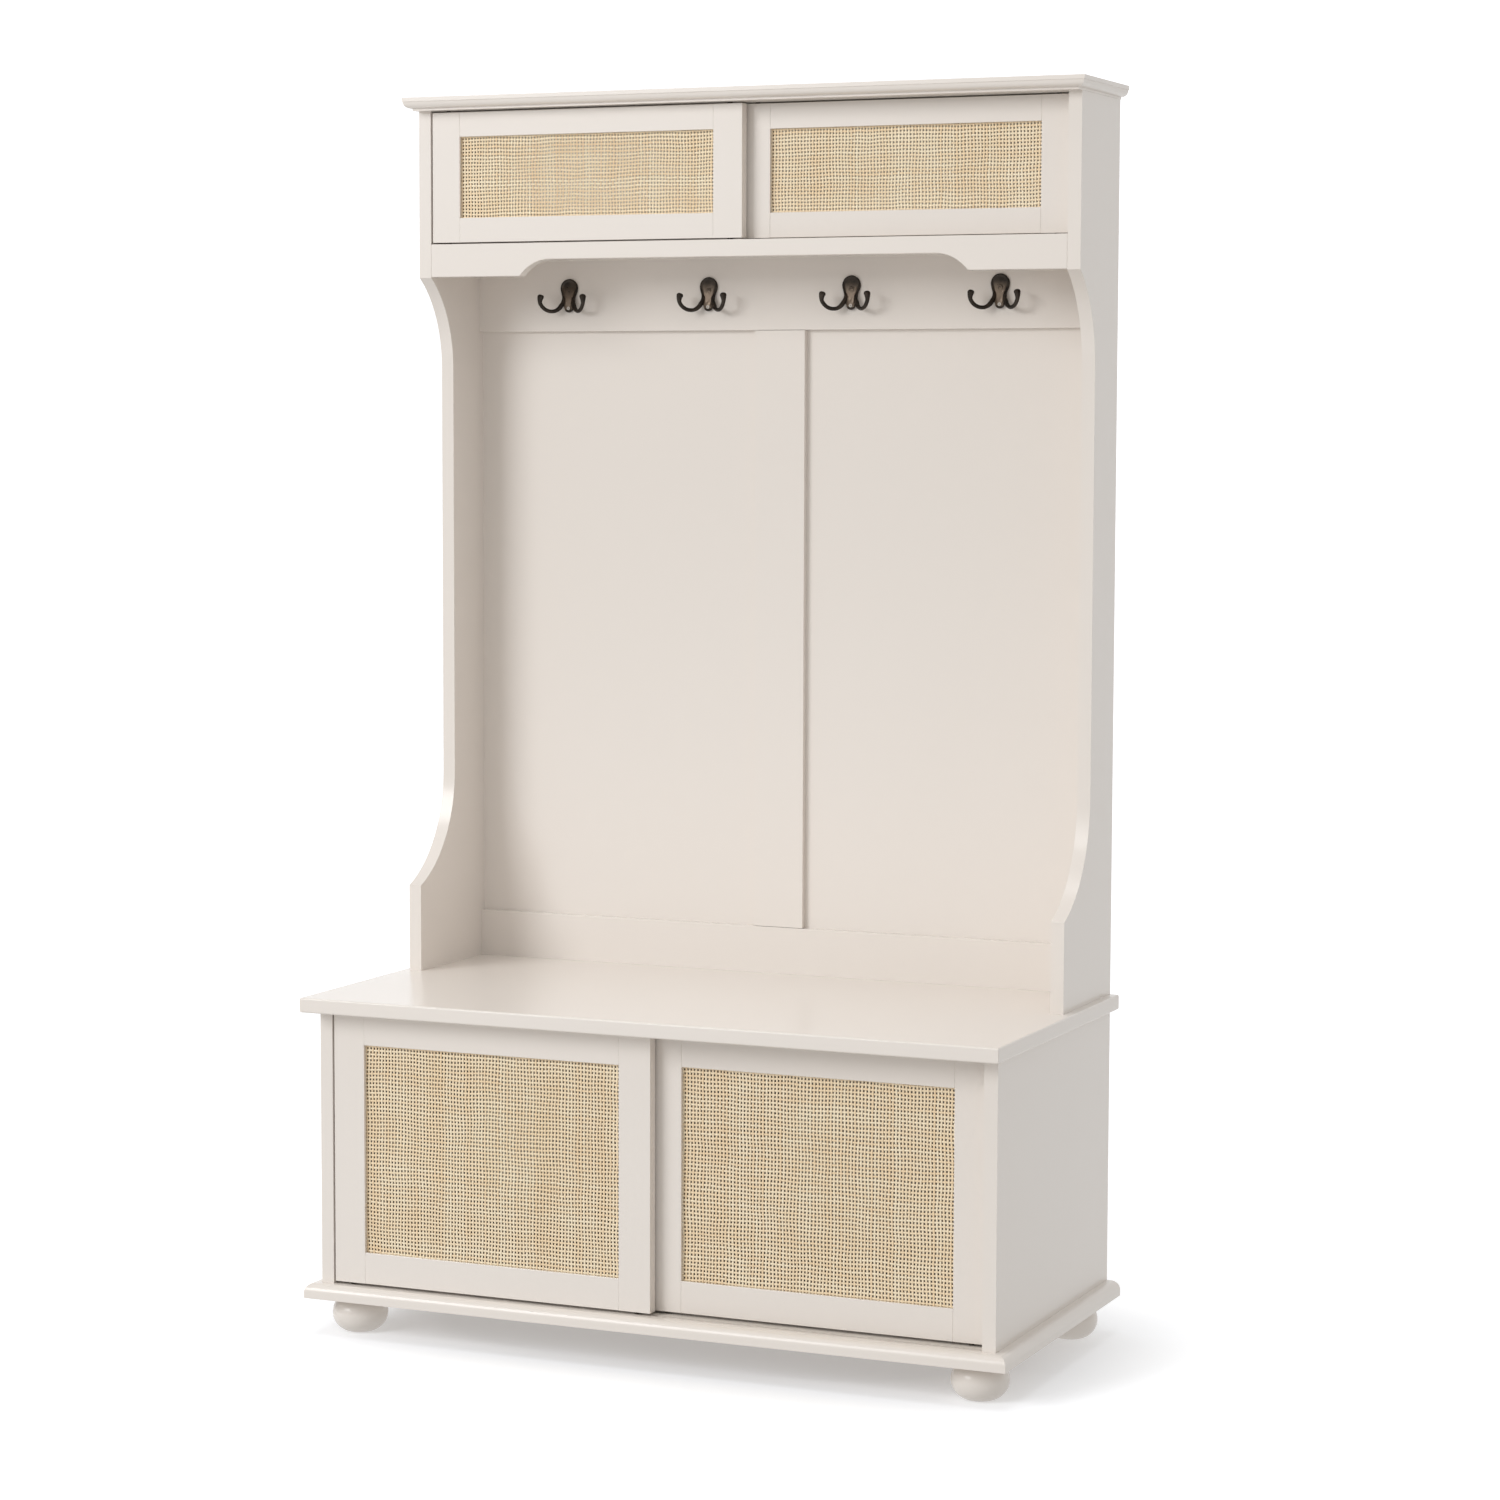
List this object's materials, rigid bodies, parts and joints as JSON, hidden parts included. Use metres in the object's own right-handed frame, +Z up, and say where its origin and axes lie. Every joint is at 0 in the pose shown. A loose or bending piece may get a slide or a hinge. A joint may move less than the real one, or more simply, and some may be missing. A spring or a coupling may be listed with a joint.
{
  "type": "hall tree",
  "caption": "Hall tree: storage bench with sliding cane-front doors, a back panel with coat hooks between scrolled sides, and a shallow sliding-door cabinet on top.",
  "frame": {"origin": "on the floor, under the middle of the object's bounding box", "axes": "+Z up, -Y the front with the doors and hooks, +X the right-hand side seen from the front"},
  "size_m": [0.998, 0.48, 1.666],
  "materials": {
    "painted_wood": "satin warm off-white paint on board and solid wood",
    "painted_panel": "satin warm off-white paint on thin panel",
    "cane": "natural pale cane, woven open",
    "raw_wood": "unpainted light wood",
    "aged_bronze": "dark antique bronze with worn edges",
    "bright_screw": "bright",
    "steel": "zinc plated",
    "nylon": "matt off-white plastic"
  },
  "bodies": {
    "carcass": {"top_board": "painted_wood", "left_upper_side": "painted_wood", "right_upper_side": "painted_wood", "apron": "painted_wood", "upper_shelf": "painted_wood", "hook_rail": "painted_wood", "centre_batten": "painted_wood", "bottom_rail": "painted_wood", "back_panel_left": "painted_panel", "back_panel_right": "painted_panel", "hook_1": "aged_bronze", "hook_2": "aged_bronze", "hook_3": "aged_bronze", "hook_4": "aged_bronze", "hook_screws": "bright_screw", "seat_board": "painted_wood", "left_lower_side": "painted_wood", "right_lower_side": "painted_wood", "base_board": "painted_wood", "lower_back_panel": "painted_panel", "lower_divider": "painted_wood", "foot_front_left": "painted_wood", "foot_front_right": "painted_wood", "foot_back_left": "painted_wood", "foot_back_right": "painted_wood", "foot_bolts": "steel", "upper_top_track": "nylon", "upper_bottom_track": "nylon", "lower_top_track": "nylon", "lower_bottom_track": "nylon", "back_screws": "steel"},
    "upper_left_door": {"upper_left_stile_a": "painted_wood", "upper_left_stile_b": "painted_wood", "upper_left_top_rail": "painted_wood", "upper_left_bottom_rail": "painted_wood", "upper_left_webbing": "cane", "upper_left_bead": "raw_wood", "upper_left_glides": "nylon"},
    "upper_right_door": {"upper_right_stile_a": "painted_wood", "upper_right_stile_b": "painted_wood", "upper_right_top_rail": "painted_wood", "upper_right_bottom_rail": "painted_wood", "upper_right_webbing": "cane", "upper_right_bead": "raw_wood", "upper_right_glides": "nylon"},
    "lower_left_door": {"lower_left_stile_a": "painted_wood", "lower_left_stile_b": "painted_wood", "lower_left_top_rail": "painted_wood", "lower_left_bottom_rail": "painted_wood", "lower_left_webbing": "cane", "lower_left_bead": "raw_wood", "lower_left_glides": "nylon"},
    "lower_right_door": {"lower_right_stile_a": "painted_wood", "lower_right_stile_b": "painted_wood", "lower_right_top_rail": "painted_wood", "lower_right_bottom_rail": "painted_wood", "lower_right_webbing": "cane", "lower_right_bead": "raw_wood", "lower_right_glides": "nylon"}
  },
  "joints": [
    {"name": "upper_left_door_slide", "type": "slide", "parent": "carcass", "child": "upper_left_door", "axis": [1, 0, 0], "range_m": [0, 0.455]},
    {"name": "upper_right_door_slide", "type": "slide", "parent": "carcass", "child": "upper_right_door", "axis": [1, 0, 0], "range_m": [-0.455, 0]},
    {"name": "lower_left_door_slide", "type": "slide", "parent": "carcass", "child": "lower_left_door", "axis": [1, 0, 0], "range_m": [0, 0.455]},
    {"name": "lower_right_door_slide", "type": "slide", "parent": "carcass", "child": "lower_right_door", "axis": [1, 0, 0], "range_m": [-0.455, 0]}
  ]
}
